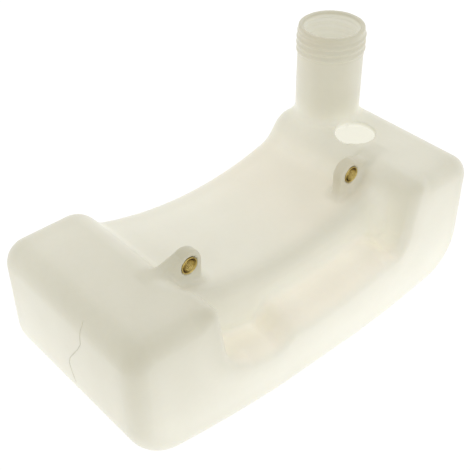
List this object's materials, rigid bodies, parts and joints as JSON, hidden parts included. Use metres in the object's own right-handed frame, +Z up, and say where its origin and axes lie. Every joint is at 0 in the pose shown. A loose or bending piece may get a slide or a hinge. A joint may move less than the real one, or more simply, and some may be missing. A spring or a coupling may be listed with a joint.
{
  "type": "saddle fuel tank",
  "caption": "Hollow moulded fuel tank with a saddle-shaped top, open threaded filler neck, plain port and two ears with brass screw inserts.",
  "frame": {"origin": "middle of the tank's bounding box, on the surface that the belly rests on", "axes": "+X along the tank towards the filler neck end, -Y towards the side with the screw inserts, +Z up along the filler neck"},
  "size_m": [0.238, 0.1116, 0.141],
  "materials": {
    "milky_plastic": "translucent natural polyethylene, satin as moulded",
    "turned_brass": "turned, slightly dulled"
  },
  "bodies": {
    "root": {"tank_shell": "milky_plastic", "left_screw_insert": "turned_brass", "right_screw_insert": "turned_brass"}
  },
  "joints": []
}
